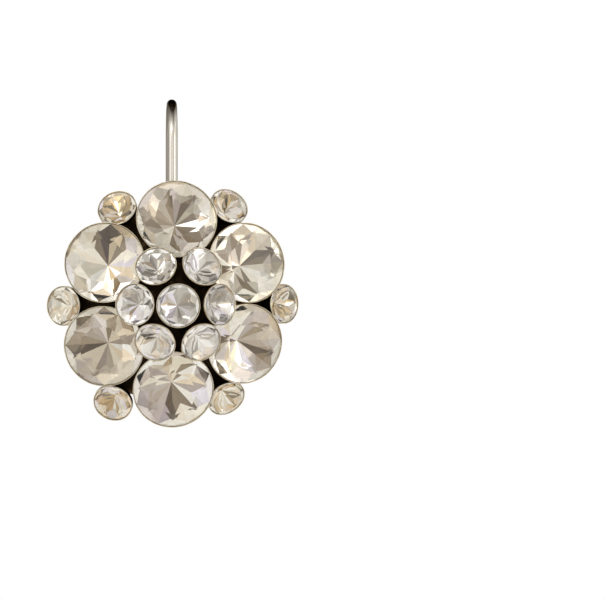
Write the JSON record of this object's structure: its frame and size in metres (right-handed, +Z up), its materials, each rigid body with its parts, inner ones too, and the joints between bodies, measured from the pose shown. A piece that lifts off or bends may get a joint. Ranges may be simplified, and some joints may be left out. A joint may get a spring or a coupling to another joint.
{
  "type": "rhinestone cluster earring",
  "caption": "Round cluster of faceted clear stones in metal cups on a scalloped plate, hung from an open ear wire.",
  "frame": {"origin": "underside of the ear wire's arch, where the ear lobe's hole carries it", "axes": "+Z up as worn, -Y the way the stones face, +X to the right of someone who looks at the stones"},
  "size_m": [0.026, 0.0191, 0.0338],
  "materials": {
    "wire": "polished silver tone",
    "setting": "darkened antique brass",
    "large_glass": "faceted, foil backed, pale champagne",
    "small_glass": "faceted, foil backed, clear",
    "outer_glass": "faceted, foil backed, clear with an amber cast"
  },
  "bodies": {
    "root": {"ear_hook": "wire", "setting_frame": "setting", "centre_stone": "small_glass", "large_stone_top": "large_glass", "large_stone_upper_left": "large_glass", "large_stone_lower_left": "large_glass", "large_stone_bottom": "large_glass", "large_stone_lower_right": "large_glass", "large_stone_upper_right": "large_glass", "inner_stone_right": "small_glass", "inner_stone_upper_right": "small_glass", "inner_stone_upper_left": "small_glass", "inner_stone_left": "small_glass", "inner_stone_lower_left": "small_glass", "inner_stone_lower_right": "small_glass", "outer_stone_right": "outer_glass", "outer_stone_upper_right": "outer_glass", "outer_stone_upper_left": "outer_glass", "outer_stone_left": "outer_glass", "outer_stone_lower_left": "outer_glass", "outer_stone_lower_right": "outer_glass"}
  },
  "joints": []
}
